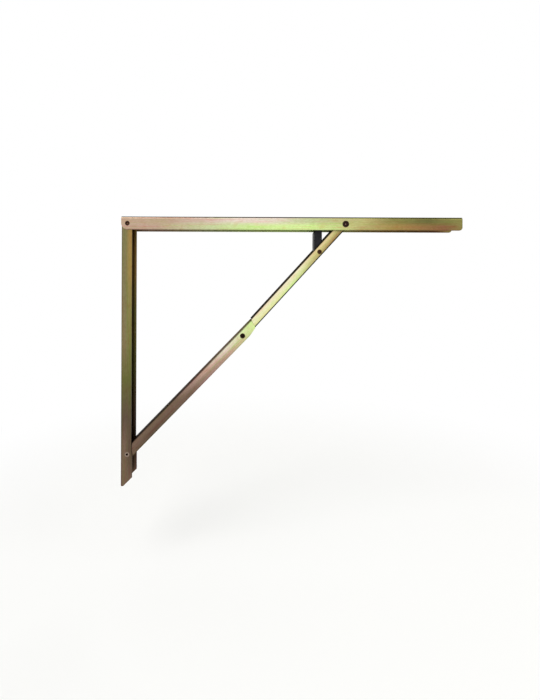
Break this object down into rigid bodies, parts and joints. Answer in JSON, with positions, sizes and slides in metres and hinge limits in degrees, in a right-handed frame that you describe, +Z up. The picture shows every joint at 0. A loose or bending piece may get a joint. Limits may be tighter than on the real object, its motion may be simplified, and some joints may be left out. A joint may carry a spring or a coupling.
{
  "type": "folding shelf bracket",
  "caption": "Folding shelf bracket of nested steel channels: a wall rail, a shelf arm and a strut that breaks at a knee, with a latch lever in the strut.",
  "frame": {"origin": "on the wall plane and the bracket's mid-plane, level with the corner pivot between rail and arm", "axes": "+X runs from the wall out along the shelf arm, +Z is up, Y runs along the wall"},
  "size_m": [0.5004, 0.0346, 0.3967],
  "materials": {
    "zinc_plate": "pressed steel, yellow chromate over zinc",
    "rivet_steel": "plated rivets and sleeves, darker than the sheet",
    "black_plastic": "moulded black plastic",
    "spring_steel": "bright spring wire"
  },
  "bodies": {
    "wall_rail": {"wall_rail": "zinc_plate", "corner_pin": "rivet_steel", "corner_sleeve": "rivet_steel", "foot_rivet": "rivet_steel"},
    "lower_strut": {"lower_strut": "zinc_plate", "foot_sleeve": "rivet_steel", "knee_rivet": "rivet_steel"},
    "upper_strut": {"upper_strut": "zinc_plate", "knee_sleeve": "rivet_steel", "top_sleeve": "rivet_steel", "latch_rivet": "rivet_steel"},
    "shelf_arm": {"shelf_arm": "zinc_plate", "corner_rivet_front": "rivet_steel", "corner_rivet_back": "rivet_steel", "top_rivet": "rivet_steel", "top_spacer_front": "rivet_steel", "top_spacer_back": "rivet_steel"},
    "latch": {"latch_lever": "black_plastic", "latch_spring": "spring_steel"}
  },
  "joints": [
    {"name": "foot_pivot", "type": "hinge", "parent": "wall_rail", "child": "lower_strut", "pos_m": [0.0094, 0, -0.34], "axis": [0, -1, 0], "range_deg": [0, 43.68]},
    {"name": "knee", "type": "hinge", "parent": "lower_strut", "child": "upper_strut", "pos_m": [0.17888, 0, -0.16518], "axis": [0, 1, 0], "range_deg": [0, 178.68]},
    {"name": "top_pivot", "type": "hinge", "parent": "upper_strut", "child": "shelf_arm", "pos_m": [0.3294, 0, 0], "axis": [0, -1, 0], "range_deg": [0, 47.2]},
    {"name": "latch_pivot", "type": "hinge", "parent": "upper_strut", "child": "latch", "pos_m": [0.29236, 0, -0.04065], "axis": [0, 1, 0], "range_deg": [0, 42.35]}
  ],
  "couplings": [
    {"joint": "foot_pivot", "follows": "knee", "ratio": 0.24443},
    {"joint": "top_pivot", "follows": "knee", "ratio": 0.2641},
    {"joint": "latch_pivot", "follows": "knee", "ratio": 0.23697}
  ]
}
